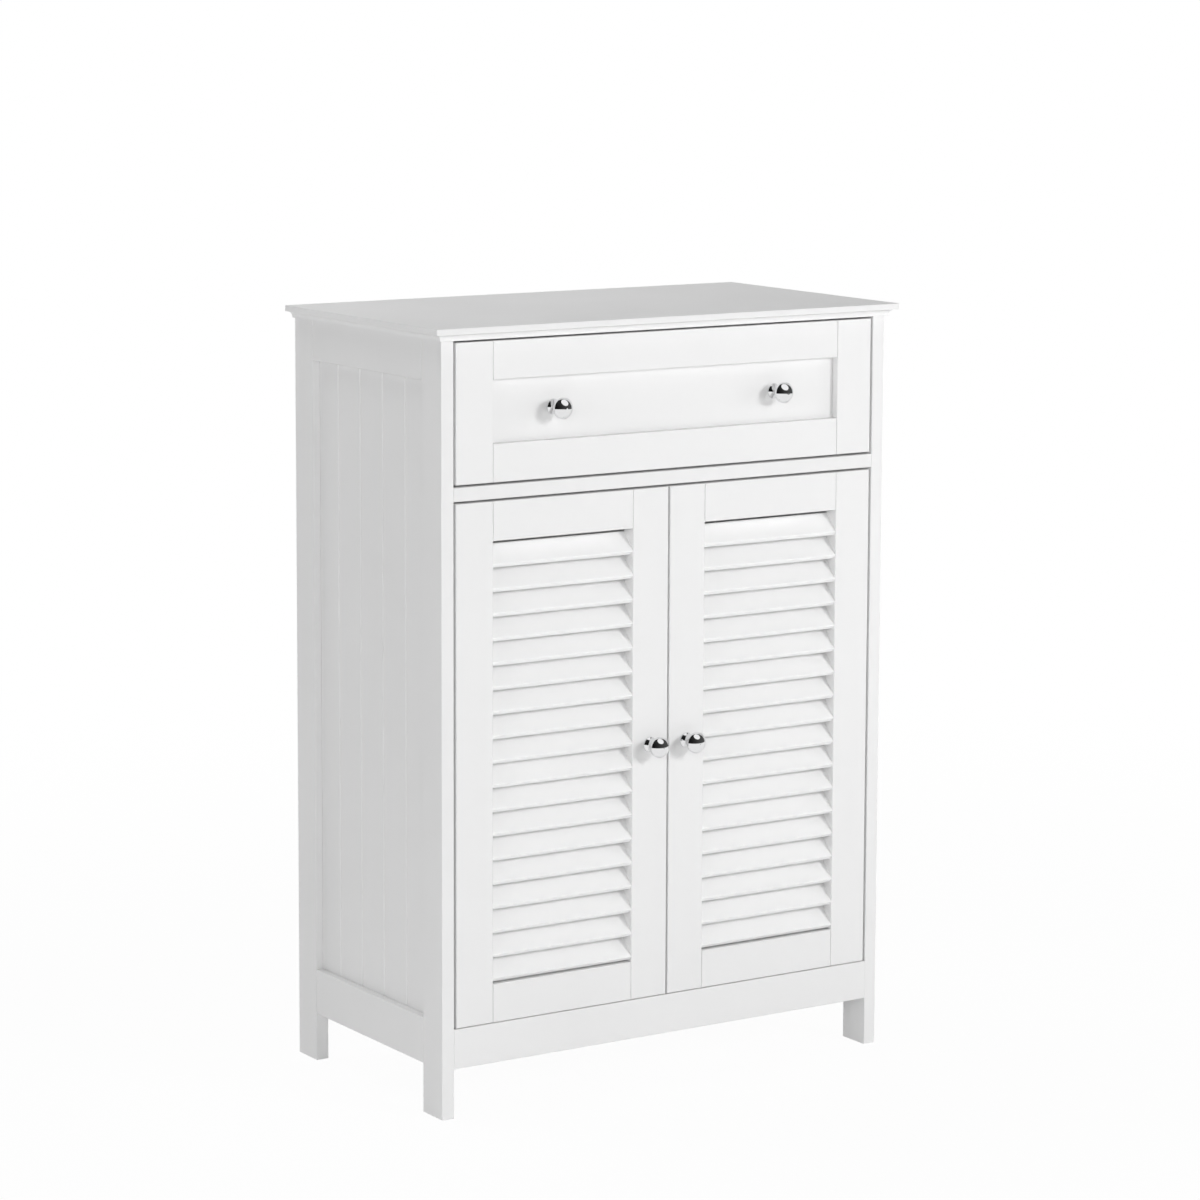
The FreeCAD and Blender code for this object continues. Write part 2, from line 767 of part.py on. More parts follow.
def door_tenons(x0, x1, foot, head):
    """The tenons at the two ends of a door rail between x0 and x1."""
    middle = front + front_thickness / 2
    half = door_tenon_thickness / 2
    low = foot + tenon_shoulder
    high = head - tenon_shoulder
    inner = block(x0 - door_tenon_length, x0, middle - half, middle + half, low, high)
    outer = block(x1, x1 + door_tenon_length, middle - half, middle + half, low, high)
    return inner, outer


# ---- Knobs -----------------------------------------------------------------
def knob(seat):
    """A turned mushroom knob that stands on the face at seat."""
    def at(radius, distance):
        return V(radius, -distance, 0)

    base = at(knob_base_radius - knob_base_taper, knob_base_edge)
    cove = at(knob_neck_radius + knob_cove_bow, knob_cove_end / 2 + knob_base_edge / 2)
    neck_start = at(knob_neck_radius, knob_cove_end)
    neck_end = at(knob_neck_radius, knob_flare_start)
    under = at(knob_radius - knob_under_ledge, knob_rim_back - knob_under_rise)
    rim_back = at(knob_radius, knob_rim_back)
    rim_front = at(knob_radius, knob_rim_front)
    crown = at(0, knob_projection)
    edges = [
        Part.makeLine(at(0, 0), at(knob_base_radius, 0)),
        Part.makeLine(at(knob_base_radius, 0), base),
        Part.Arc(base, cove, neck_start).toShape(),
        Part.makeLine(neck_start, neck_end),
        Part.makeLine(neck_end, under),
        Part.makeLine(under, rim_back),
        Part.makeLine(rim_back, rim_front),
        crown_arc(rim_front, crown),
        Part.makeLine(crown, at(0, 0)),
    ]
    body = Part.Face(Part.Wire(edges)).revolve(V(0, 0, 0), V(0, 1, 0), 360)
    body = body.cut(rod(V(0, 0, 0), V(0, -1, 0), knob_screw_radius, knob_screw_reach))
    return body.translated(seat)


def crown_arc(rim, crown):
    """The domed face of a knob, an arc about a centre on the knob's axis."""
    rise = rim.y - crown.y
    radius = (rim.x ** 2 + rise ** 2) / (2 * rise)
    centre = V(0, crown.y + radius, 0)
    circle = Part.Circle(centre, V(0, 0, 1), radius)
    start = circle.parameter(crown)
    end = circle.parameter(rim)
    return Part.Arc(circle, start, end).toShape()


def knob_screw(seat, thickness):
    """The screw that holds a knob from behind, through a board."""
    start = seat + V(0, thickness + knob_screw_head, 0)
    steps = [(knob_screw_head_radius, knob_screw_head),
             (knob_screw_radius, thickness + knob_screw_reach)]
    return stepped_rod(start, V(0, -1, 0), steps)


def knob_screw_hole(seat, thickness):
    """The hole through the board behind a knob."""
    return rod(seat, V(0, 1, 0), knob_screw_radius, thickness)


# ---- Hinges ----------------------------------------------------------------
def cup_hole(level):
    """The round pocket in the door for a hinge cup."""
    centre = V(front_edge - cup_from_edge, door_back, level)
    return rod(centre, V(0, -1, 0), cup_radius + fit_clearance, cup_depth + fit_clearance)


def hinge_cups():
    """Cups with their pivot pins, and the screws of their flanges."""
    pieces = []
    screws = []
    for level in hinge_levels:
        centre = V(front_edge - cup_from_edge, door_back, level)
        pieces.extend(hinge_cup(centre))
        for way in (-1, 1):
            seat = centre + V(0, cup_flange_thickness, way * cup_screw_spacing / 2)
            screws.append(wood_screw(seat, V(0, -1, 0), screw_length))
    return pieces, screws


def hinge_cup(centre):
    """One drawn steel cup with its flange, and the pin across it."""
    inward = V(0, -1, 0)
    rear_face = centre + V(0, cup_flange_thickness, 0)
    shell = rod(centre, inward, cup_radius, cup_depth)
    flange = rod(centre, -inward, cup_flange_radius, cup_flange_thickness)
    ear_half = cup_ear_width / 2
    ear_reach = cup_screw_spacing / 2 + cup_ear_margin
    ears = block(centre.x - ear_half, centre.x + ear_half, centre.y, rear_face.y,
                 centre.z - ear_reach, centre.z + ear_reach)
    hollow = rod(rear_face, inward, cup_radius - cup_wall,
                 cup_flange_thickness + cup_depth - cup_wall)
    cup = shell.fuse([flange, ears]).removeSplitter().cut(hollow)
    offset = hinge_x - centre.x + pin_radius
    seat_reach = math.sqrt((cup_radius - cup_wall) ** 2 - offset ** 2) + cup_wall / 2
    pin = rod(V(hinge_x, hinge_y, centre.z - seat_reach), V(0, 0, 1), pin_radius, 2 * seat_reach)
    cup = cup.cut(pin)
    for way in (-1, 1):
        seat = rear_face + V(0, 0, way * cup_screw_spacing / 2)
        cup = cup.cut(screw_hole(seat, inward, cup_flange_thickness))
    return cup, pin


def hinge_arm(level):
    """The bent steel arm, from its rolled eye on the pin to its foot."""
    low = level - arm_width / 2
    eye_radius = pin_radius + pin_clearance + arm_thickness
    inner = hinge_x - arm_reach_in
    behind = hinge_y + arm_reach_back
    foot_x = inner_side - plate_thickness - arm_thickness / 2
    corners = [V(hinge_x, hinge_y, low), V(inner, hinge_y, low), V(inner, behind, low),
               V(foot_x, behind, low), V(foot_x, behind + arm_foot_length, low)]
    strip = bent_strip(corners, arm_bend_radius, arm_thickness)
    arm = strip.extrude(V(0, 0, arm_width))
    eye = rod(V(hinge_x, hinge_y, low), V(0, 0, 1), eye_radius, arm_width)
    bore = rod(V(hinge_x, hinge_y, low), V(0, 0, 1), pin_radius + pin_clearance, arm_width)
    return arm.fuse(eye).removeSplitter().cut(bore)


def bent_strip(corners, radius, thickness):
    """The face of a strip of constant thickness along a path with round bends."""
    pieces = []
    half = thickness / 2
    up = V(0, 0, 1)
    for start, end in zip(corners, corners[1:]):
        along = (end - start).normalize()
        side = along.cross(up) * half
        first = start if start == corners[0] else start + along * radius
        last = end if end == corners[-1] else end - along * radius
        outline = [first - side, last - side, last + side, first + side]
        pieces.append(Part.Face(Part.makePolygon(outline + [outline[0]])))
    for before, corner, after in zip(corners, corners[1:], corners[2:]):
        pieces.append(bend_face(before, corner, after, radius, half))
    strip = pieces[0].fuse(pieces[1:])
    return strip.removeSplitter()


def bend_face(before, corner, after, radius, half):
    """A quarter ring that joins two square runs of a strip."""
    back = (before - corner).normalize()
    on = (after - corner).normalize()
    centre = corner + (back + on) * radius
    middle = (back + on).normalize()
    arcs = []
    for ring in (radius - half, radius + half):
        arcs.append((centre - on * ring, centre - middle * ring, centre - back * ring))
    inner, outer = arcs
    edges = [Part.Arc(*inner).toShape(), Part.makeLine(inner[2], outer[2]),
             Part.Arc(*reversed(outer)).toShape(), Part.makeLine(outer[0], inner[0])]
    return Part.Face(Part.Wire(edges))


def plate_middle():
    """Y of the middle of the mounting plates."""
    return stile_back - plate_edge_margin - plate_depth / 2


def mounting_plate(level):
    """The plate on the side frame that carries a hinge arm."""
    y = plate_middle()
    plate = block(inner_side - plate_thickness, inner_side, y - plate_depth / 2,
                  y + plate_depth / 2, level - plate_height / 2, level + plate_height / 2)
    for way in (-1, 1):
        seat = V(inner_side - plate_thickness, y, level + way * plate_screw_spacing / 2)
        plate = plate.cut(screw_hole(seat, V(1, 0, 0), plate_thickness))
    return plate


def cabinet_screw_seats():
    """Where hinge and runner screws cross the inner face of a side."""
    y = plate_middle()
    seats = [V(inner_side, y, level + way * plate_screw_spacing / 2)
             for level in hinge_levels for way in (-1, 1)]
    middle = (channel_floor + channel_lip) / 2
    seats.extend(V(inner_side, y, middle) for y in runner_screw_lines())
    return seats


def build_hinges():
    """The halves of the hinges that stay on the cabinet."""
    arms = [hinge_arm(level) for level in hinge_levels]
    plates = [mounting_plate(level) for level in hinge_levels]
    add("hinge_arms", *both_sides(arms))
    add("hinge_plates", *both_sides(plates))
    screws = []
    inward = V(1, 0, 0)
    for seat in cabinet_screw_seats():
        on_plate = seat.z < divider_foot
        sheet = plate_thickness if on_plate else runner_sheet
        start = seat - inward * sheet
        screws.append(wood_screw(start, inward, screw_length))
    add("cabinet_screws", *both_sides(screws))


# ---- Runners ---------------------------------------------------------------
def runner_screw_lines():
    """Y of the screws through a runner channel, front and rear stile."""
    return (channel_front + channel_screw_front, rear_stile_front + channel_screw_rear)


def runner_channel():
    """The channel on the side frame: web, floor and, behind the roller, a lip."""
    foot = channel_floor - runner_sheet
    floor_end = rail_outer + floor_clearance
    lip_end = rail_outer + lip_clearance
    lip_front = front_roller_y + roller_radius + lip_behind_roller
    top = channel_lip + runner_sheet
    web = block(channel_web, inner_side, channel_front, channel_rear, foot, top)
    floor = block(floor_end, channel_web, channel_front, channel_rear, foot, channel_floor)
    lip = block(lip_end, channel_web, lip_front, channel_rear, channel_lip, top)
    channel = web.fuse([floor, lip]).removeSplitter()
    middle = (channel_floor + channel_lip) / 2
    for y in runner_screw_lines():
        channel = channel.cut(rod(V(channel_web, y, middle), V(1, 0, 0), screw_radius, runner_sheet))
    return channel.cut(front_axle())


def runner_rail():
    """The rail on the drawer: leg under the box side, web and top flange."""
    flange_top = rail_flange_foot + runner_sheet
    flange_end = channel_web - flange_clearance
    leg = block(box_outer - rail_under, rail_outer, channel_front, rail_rear,
                rail_foot, box_foot)
    web = block(box_outer, rail_outer, channel_front, rail_rear, rail_foot, flange_top)
    flange = block(box_outer, flange_end, channel_front, rail_rear,
                   rail_flange_foot, flange_top)
    rail = leg.fuse([web, flange]).removeSplitter()
    for seat in rail_screw_seats():
        rail = rail.cut(rod(seat, V(0, 0, 1), screw_radius, runner_sheet))
    return rail.cut(rear_axle())


def rail_screw_seats():
    """Where the screws of a runner rail enter, from below."""
    x = box_outer - box_side_thickness / 2
    lines = (channel_front + rail_screw_front, rail_rear - rail_screw_rear)
    return [V(x, y, rail_foot) for y in lines]


def front_axle():
    """The rivet that carries the roller at the front of a channel."""
    start = V(roller_inner - axle_head - axle_clearance, front_roller_y, front_roller_z)
    steps = [(axle_head_radius, axle_head), (axle_radius, inner_side - start.x - axle_head)]
    return stepped_rod(start, V(1, 0, 0), steps)


def rear_axle():
    """The rivet that carries the roller at the rear of a rail."""
    start = V(roller_outer + axle_head + axle_clearance, rear_roller_y, rear_roller_z)
    steps = [(axle_head_radius, axle_head), (axle_radius, start.x - axle_head - box_outer)]
    return stepped_rod(start, V(-1, 0, 0), steps)


def roller(y, z):
    """A nylon roller with a running fit on its axle."""
    wheel = rod(V(roller_inner, y, z), V(1, 0, 0), roller_radius, roller_width)
    return wheel.cut(rod(V(roller_inner, y, z), V(1, 0, 0), axle_radius + axle_clearance, roller_width))


def build_runners():
    """Channels and front rollers on the cabinet, rails and rear rollers on the drawer."""
    add("runner_channels", *both_sides([runner_channel()]))
    add("runner_rails", *both_sides([runner_rail()]))
    add("channel_axles", *both_sides([front_axle()]))
    add("rail_axles", *both_sides([rear_axle()]))
    add_pair("front_roller", roller(front_roller_y, front_roller_z))
    add_pair("rear_roller", roller(rear_roller_y, rear_roller_z))


# ---- Drawer ----------------------------------------------------------------
def drawer_bottom_panel():
    """The thin bottom, held in grooves in the front, the sides and the back."""
    half = box_inner + drawer_bottom_tongue
    return block(-half, half, door_back - drawer_bottom_tongue,
                 box_rear - box_side_thickness + drawer_bottom_tongue,
                 drawer_bottom_foot, drawer_bottom_foot + drawer_bottom_thickness)


def drawer_bottom_groove():
    """The space that the bottom needs in its neighbours."""
    box = drawer_bottom_panel().BoundBox
    play = groove_clearance
    return block(box.XMin - play, box.XMax + play, box.YMin - play, box.YMax + play,
                 box.ZMin, box.ZMax + play)


def drawer_front():
    """Stile, rails and recessed panel of the drawer front."""
    seam = front_edge - drawer_stile_width
    bottom_rail_top = drawer_foot + drawer_rail_height
    top_rail_foot = drawer_top - drawer_rail_height
    on_front = ("y", front)
    stile = block(seam, front_edge, front, door_back, drawer_foot, drawer_top)
    bottom_rail = block(-seam, seam, front, door_back, drawer_foot, bottom_rail_top)
    bottom_rail = joint_lines(bottom_rail, "x")
    top_rail = block(-seam, seam, front, door_back, top_rail_foot, drawer_top)
    top_rail = joint_lines(top_rail, "x")
    tongue = drawer_panel_tongue
    panel_front = front + drawer_panel_recess
    panel = block(-seam - tongue, seam + tongue, panel_front,
                  panel_front + drawer_panel_thickness,
                  bottom_rail_top - tongue, top_rail_foot + tongue)
    groove = block(-seam - tongue, seam + tongue, panel_front - panel_play,
                   panel_front + drawer_panel_thickness,
                   bottom_rail_top - tongue, top_rail_foot + tongue)
    members = [eased(member, on_front).cut(groove) for member in (stile, bottom_rail, top_rail)]
    return members + [panel]


def build_drawer():
    """The drawer front, its box and its fittings."""
    stile, bottom_rail, top_rail, panel = drawer_front()
    groove = drawer_bottom_groove()
    side = block(box_inner, box_outer, door_back, box_rear, box_foot, box_top)
    back_front_face = box_rear - box_side_thickness
    back = block(-box_inner, box_inner, back_front_face, box_rear, box_foot, box_top)
    side = side.cut(groove)
    back = back.cut(groove)
    stile = stile.cut(groove)
    bottom_rail = bottom_rail.cut(groove)

    joinery = Joinery()
    middle = box_inner + box_side_thickness / 2
    small = (small_cam_radius, small_cam_depth)
    levels = [box_foot + height for height in box_fitting_heights]
    for z in levels:
        seat = V(middle, door_back, z)
        side, stile = joinery.cam_joint(seat, V(0, 1, 0), V(-1, 0, 0), side, stile, *small)

    screws = []
    for z in levels:
        seat = V(box_outer, box_rear - box_side_thickness / 2, z)
        screws.append(wood_screw(seat, V(-1, 0, 0), back_screw_length))
    for seat in rail_screw_seats():
        screws.append(wood_screw(seat, V(0, 0, 1), rail_screw_length))
    side = side.cut(screws)
    back = back.cut(both_sides(screws))

    panel_seat = V(drawer_knob_spacing / 2, front + drawer_panel_recess,
                   (drawer_foot + drawer_top) / 2)
    panel = panel.cut(both_sides([knob_screw_hole(panel_seat, drawer_panel_thickness)]))
    screws.append(knob_screw(panel_seat, drawer_panel_thickness))

    add_pair("drawer_front_stile", stile)
    add("drawer_front_top_rail", top_rail)
    add("drawer_front_bottom_rail", bottom_rail)
    add("drawer_front_panel", panel)
    add_pair("drawer_side", side)
    add("drawer_back", back)
    add("drawer_bottom", drawer_bottom_panel())
    add("drawer_knobs", *both_sides([knob(panel_seat)]))
    add("drawer_cam_fittings", *both_sides(joinery.cams + joinery.bolts))
    add("drawer_screws", *both_sides(screws))


def main():
    """Build every node and write one STEP file for each."""
    build_carcass()
    build_shelf()
    build_door()
    build_hinges()
    build_runners()
    build_drawer()
    os.makedirs("parts", exist_ok=True)
    for name, shape in nodes.items():
        shape.exportStep("parts/" + name + ".step")


main()
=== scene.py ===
"""Louvred door cabinet: its finishes, and the studio and camera round it.

Metres, +Z up, the cabinet standing on Z = 0 with its front towards -Y.  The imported
solids are the whole cabinet: this script gives them their finishes and adds no piece.
"""

import logging
import math
from dataclasses import dataclass
from enum import Enum

import bpy
from mathutils import Matrix, Vector

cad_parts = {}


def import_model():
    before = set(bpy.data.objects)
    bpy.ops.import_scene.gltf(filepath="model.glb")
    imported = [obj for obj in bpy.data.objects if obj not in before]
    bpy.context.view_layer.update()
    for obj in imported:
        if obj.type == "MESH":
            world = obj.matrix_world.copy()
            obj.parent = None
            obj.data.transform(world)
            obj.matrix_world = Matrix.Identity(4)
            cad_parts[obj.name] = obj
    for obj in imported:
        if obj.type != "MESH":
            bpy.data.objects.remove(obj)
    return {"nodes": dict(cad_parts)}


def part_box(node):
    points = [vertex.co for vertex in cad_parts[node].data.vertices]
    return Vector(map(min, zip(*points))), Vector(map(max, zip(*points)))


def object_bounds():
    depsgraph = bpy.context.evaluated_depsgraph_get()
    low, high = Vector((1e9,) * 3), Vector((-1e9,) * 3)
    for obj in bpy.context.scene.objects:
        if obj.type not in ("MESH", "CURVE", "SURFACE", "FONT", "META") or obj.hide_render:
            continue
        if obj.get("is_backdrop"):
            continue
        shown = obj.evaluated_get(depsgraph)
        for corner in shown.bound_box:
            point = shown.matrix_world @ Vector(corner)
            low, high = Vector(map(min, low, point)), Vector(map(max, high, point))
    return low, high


LOG = logging.getLogger("louvred_cabinet")
MM = 0.001

Colour = tuple[float, float, float, float]
Triple = tuple[float, float, float]

# Nearly all values of a noise texture lie between these two.
NOISE_LOW = 0.3
NOISE_HIGH = 0.7


# ---- Small helpers ---------------------------------------------------------
def linear(hex_colour: str) -> Colour:
    """Turn an sRGB hex colour into the linear RGBA that a socket takes.

    Args:
        hex_colour: six hex digits, such as "f2f2f0".

    Returns:
        Red, green, blue and an alpha of 1, all linear.
    """
    channels = []
    for start in (0, 2, 4):
        value = int(hex_colour[start:start + 2], 16) / 255
        low = value / 12.92
        high = ((value + 0.055) / 1.055) ** 2.4
        channels.append(low if value <= 0.04045 else high)
    return (channels[0], channels[1], channels[2], 1.0)


def per_metre(size_mm: float) -> float:
    """The scale of a texture whose pattern repeats about every size_mm."""
    return 1000.0 / size_mm


def add_node(
    tree: bpy.types.NodeTree,
    kind: str,
    settings: dict[str, object] | None = None,
    inputs: dict[str | int, object] | None = None,
) -> bpy.types.Node:
    """Add a shader node, set it and link it.

    Args:
        tree: the tree that gets the node.
        kind: the node's type, such as "ShaderNodeTexNoise".
        settings: the node's own properties, by name.
        inputs: for each input socket its value, or the output that feeds it.

    Returns:
        The new node.
    """
    made = tree.nodes.new(kind)
    for name, value in (settings or {}).items():
        setattr(made, name, value)
    for socket, value in (inputs or {}).items():
        if isinstance(value, bpy.types.NodeSocket):
            tree.links.new(value, made.inputs[socket])
        else:
            made.inputs[socket].default_value = value
    return made


def empty_material(name: str) -> tuple[bpy.types.Material, bpy.types.NodeTree]:
    """A new material and its cleared node tree."""
    material = bpy.data.materials.new(name)
    material.use_nodes = True
    material.node_tree.nodes.clear()
    return material, material.node_tree


def way_to(azimuth: float, elevation: float) -> Vector:
    """The unit vector from the cabinet towards a place in the studio.

    Args:
        azimuth: degrees from straight ahead of the front, towards its right.
        elevation: degrees above the horizontal.

    Returns:
        The vector.
    """
    turn = math.radians(azimuth)
    rise = math.radians(elevation)
    return Vector((math.sin(turn) * math.cos(rise), -math.cos(turn) * math.cos(rise),
                   math.sin(rise)))


def deselect_all() -> None:
    """Leave nothing selected, so that an operator acts only on its own piece."""
    for each in bpy.context.selected_objects:
        each.select_set(False)


# ---- Finishes --------------------------------------------------------------
class Slot(Enum):
    """The record's material slots."""

    PAINTED_WOOD = "painted_wood"
    PAINTED_BOARD = "painted_board"
    BOX_BOARD = "box_board"
    THIN_BOARD = "thin_board"
    KNOB_CHROME = "knob_chrome"
    HINGE_STEEL = "hinge_steel"
    SCREW_STEEL = "screw_steel"
    CAM_ZINC = "cam_zinc"
    RUNNER_STEEL = "runner_steel"
    ROLLER_NYLON = "roller_nylon"
    DOWEL_BEECH = "dowel_beech"


@dataclass(frozen=True)
class Finish:
    """A surface as its maker left it: two close tones, a sheen and a fine texture.

    The two tones lie in soft patches, and the sheen changes a little with them.
    """

    name: str
    tone: str
    drift: str
    patch_mm: float
    roughness: float
    roughness_swing: float
    grain_mm: float
    grain_height_mm: float
    stretch: Triple = (1.0, 1.0, 1.0)
    grain_detail: float = 2.0
    patch_detail: float = 2.0

    def build(self) -> bpy.types.Material:
        """Make the material.

        Returns:
            The finished material, ready for a slot.
        """
        material, tree = empty_material(self.name)
        coords = add_node(tree, "ShaderNodeTexCoord").outputs["Object"]
        placed = add_node(tree, "ShaderNodeMapping", None,
                          {"Vector": coords, "Scale": self.stretch}).outputs["Vector"]
        patches = add_node(tree, "ShaderNodeTexNoise", None,
                           {"Vector": placed, "Scale": per_metre(self.patch_mm),
                            "Detail": self.patch_detail}).outputs["Fac"]
        grain = add_node(tree, "ShaderNodeTexNoise", None,
                         {"Vector": placed, "Scale": per_metre(self.grain_mm),
                          "Detail": self.grain_detail}).outputs["Fac"]
        relief = add_node(tree, "ShaderNodeBump", None,
                          {"Height": grain, "Distance": self.grain_height_mm * MM})
        sheen = add_node(tree, "ShaderNodeMapRange", None,
                         {"Value": patches, "From Min": NOISE_LOW, "From Max": NOISE_HIGH,
                          "To Min": self.roughness - self.roughness_swing,
                          "To Max": self.roughness + self.roughness_swing})
        shader = add_node(tree, "ShaderNodeBsdfPrincipled", None,
                          {"Base Color": self.tones(tree, coords, placed, patches, grain),
                           "Roughness": sheen.outputs["Result"],
                           "Normal": relief.outputs["Normal"]})
        self.finish_shader(shader)
        add_node(tree, "ShaderNodeOutputMaterial", None, {"Surface": shader.outputs["BSDF"]})
        return material

    def tones(
        self,
        tree: bpy.types.NodeTree,
        coords: bpy.types.NodeSocket,
        placed: bpy.types.NodeSocket,
        patches: bpy.types.NodeSocket,
        grain: bpy.types.NodeSocket,
    ) -> bpy.types.NodeSocket:
        """The colour of the surface.

        Args:
            tree: the material's node tree.
            coords: the piece's own coordinates; not used here.
            placed: the same, stretched along the grain; not used here.
            patches: soft patches from 0 to 1.
            grain: the fine texture from 0 to 1; not used here.

        Returns:
            The output that carries the colour.
        """
        mix = add_node(tree, "ShaderNodeMix", {"data_type": "RGBA"},
                       {0: patches, 6: linear(self.tone), 7: linear(self.drift)})
        return mix.outputs[2]

    def finish_shader(self, shader: bpy.types.Node) -> None:
        """Set the numbers that are the same all over the surface; the plain finish sets none."""


@dataclass(frozen=True)
class Coating(Finish):
    """A paint, foil or plastic: it has a clear-edged gloss over a pale body."""

    ior: float = 1.5
    subsurface: float = 0.0
    subsurface_mm: float = 1.5

    def finish_shader(self, shader: bpy.types.Node) -> None:
        """Set the index of refraction and the glow under the surface."""
        shader.inputs["IOR"].default_value = self.ior
        shader.inputs["Subsurface Weight"].default_value = self.subsurface
        shader.inputs["Subsurface Scale"].default_value = self.subsurface_mm * MM


@dataclass(frozen=True)
class Metal(Finish):
    """A bare or plated metal."""

    def finish_shader(self, shader: bpy.types.Node) -> None:
        """Make the whole surface metallic."""
        shader.inputs["Metallic"].default_value = 1.0


@dataclass(frozen=True)
class OneFacedBoard(Coating):
    """A thin board that is coated on one face and bare fibre on the other."""

    bare: str = "a98a66"
    bare_dark: str = "8d7050"
    fibre_mm: float = 3.0
    fibre_detail: float = 6.0
    fibre_roughness: float = 0.7
    axis: str = "Y"
    level: float = 0.0
    bare_above: bool = True

    def tones(
        self,
        tree: bpy.types.NodeTree,
        coords: bpy.types.NodeSocket,
        placed: bpy.types.NodeSocket,
        patches: bpy.types.NodeSocket,
        grain: bpy.types.NodeSocket,
    ) -> bpy.types.NodeSocket:
        """The coat's colour on one face and matted fibres on the other.

        Args:
            tree: the material's node tree.
            coords: the piece's own coordinates.
            placed: the same, stretched along the grain.
            patches: soft patches from 0 to 1.
            grain: the fine texture from 0 to 1.

        Returns:
            The output that carries the colour.
        """
        coat = super().tones(tree, coords, placed, patches, grain)
        fibres = add_node(tree, "ShaderNodeTexNoise", None,
                          {"Vector": coords, "Scale": per_metre(self.fibre_mm),
                           "Detail": self.fibre_detail,
                           "Roughness": self.fibre_roughness}).outputs["Fac"]
        raw = add_node(tree, "ShaderNodeMix", {"data_type": "RGBA"},
                       {0: fibres, 6: linear(self.bare_dark), 7: linear(self.bare)})
        split = add_node(tree, "ShaderNodeSeparateXYZ", None, {"Vector": coords})
        operation = "GREATER_THAN" if self.bare_above else "LESS_THAN"
        side = add_node(tree, "ShaderNodeMath", {"operation": operation},
                        {0: split.outputs[self.axis], 1: self.level})
        mix = add_node(tree, "ShaderNodeMix", {"data_type": "RGBA"},
                       {0: side.outputs["Value"], 6: coat, 7: raw.outputs[2]})
        return mix.outputs[2]


@dataclass(frozen=True)
class BareWood(Finish):
    """Turned hardwood, left bare: growth rings drawn out along the rod.

    The ring scale is the wave texture's own and no length in millimetres.
    """

    ring_scale: float = 20.0
    ring_distortion: float = 3.0
    ring_detail: float = 2.0

    def tones(
        self,
        tree: bpy.types.NodeTree,
        coords: bpy.types.NodeSocket,
        placed: bpy.types.NodeSocket,
        patches: bpy.types.NodeSocket,
        grain: bpy.types.NodeSocket,
    ) -> bpy.types.NodeSocket:
        """Two wood tones in bands.

        Args:
            tree: the material's node tree.
            coords: the piece's own coordinates; not used here.
            placed: the same, stretched along the grain.
            patches: soft patches from 0 to 1; not used here.
            grain: the fine texture from 0 to 1; not used here.

        Returns:
            The output that carries the colour.
        """
        rings = add_node(tree, "ShaderNodeTexWave", {"bands_direction": "Z"},
                         {"Vector": placed, "Scale": self.ring_scale,
                          "Distortion": self.ring_distortion,
                          "Detail": self.ring_detail}).outputs["Fac"]
        mix = add_node(tree, "ShaderNodeMix", {"data_type": "RGBA"},
                       {0: rings, 6: linear(self.tone), 7: linear(self.drift)})
        return mix.outputs[2]


# Satin lacquer sprayed on MDF: an even white whose soft orange peel only shows
# where light grazes it.  The peel is drawn at 2.4 mm; the real one is finer.
SATIN_LACQUER = Coating(
    name="satin_lacquer_on_mdf", tone="eeeeee", drift="eaeaea", patch_mm=160.0,
    roughness=0.42, roughness_swing=0.03, grain_mm=2.4, grain_height_mm=0.008)

# The same lacquer on the slats, drawn in a brighter white than on the frames.  The brighter
# white is painted light: it makes up for the shade that the slats cast on one another.
# The slats get no other coat than the frames.
SLAT_LACQUER_PAINTED_LIGHT = Coating(
    name="satin_lacquer_painted_lighter_on_slats", tone="fbfbfb", drift="f8f8f8", patch_mm=160.0,
    roughness=0.42, roughness_swing=0.03, grain_mm=2.4, grain_height_mm=0.008)

# White melamine on particle board: a little flatter and more even than the lacquer.
MELAMINE_BOARD = Coating(
    name="melamine_faced_board", tone="ededed", drift="e9e9e9", patch_mm=220.0,
    roughness=0.46, roughness_swing=0.02, grain_mm=1.6, grain_height_mm=0.012)

# Paper foil with printed-in pores along the board: flat, with fine streaks.
FOILED_BOARD = Coating(
    name="foil_wrapped_board", tone="efefed", drift="e9e9e6", patch_mm=90.0,
    roughness=0.52, roughness_swing=0.03, grain_mm=1.4, grain_height_mm=0.02,
    stretch=(1.0, 0.12, 1.0))

# Bright chrome plate on a turned zinc knob: a mirror with the faintest bloom.
CHROME_PLATE = Metal(
    name="bright_chrome_plate", tone="e6e6e7", drift="e0e0e1", patch_mm=9.0,
    roughness=0.035, roughness_swing=0.012, grain_mm=3.0, grain_height_mm=0.0004)

# Nickel plate on pressed steel: warm grey, with the drag of the press tool.
NICKEL_PLATE = Metal(
    name="nickel_plated_steel", tone="c2beb5", drift="aeaaa2", patch_mm=14.0,
    roughness=0.27, roughness_swing=0.06, grain_mm=0.8, grain_height_mm=0.006,
    stretch=(1.0, 1.0, 0.25))

# Blue-passivated zinc on screws: cool grey with a dull bloom.
ZINC_PLATE = Metal(
    name="zinc_plated_steel", tone="bfc3c6", drift="a7adb2", patch_mm=4.0,
    roughness=0.33, roughness_swing=0.08, grain_mm=0.6, grain_height_mm=0.006)

# Die-cast zinc, tumbled: matt grey with a cast skin.
CAST_ZINC = Metal(
    name="die_cast_zinc", tone="a3a5a6", drift="8c8f91", patch_mm=5.0,
    roughness=0.5, roughness_swing=0.08, grain_mm=0.9, grain_height_mm=0.02)

# Epoxy powder on cold-rolled steel: white, with a coarser peel than the lacquer.
EPOXY_POWDER = Coating(
    name="epoxy_powder_on_steel", tone="ececea", drift="e3e3e0", patch_mm=40.0,
    roughness=0.4, roughness_swing=0.05, grain_mm=1.1, grain_height_mm=0.025)

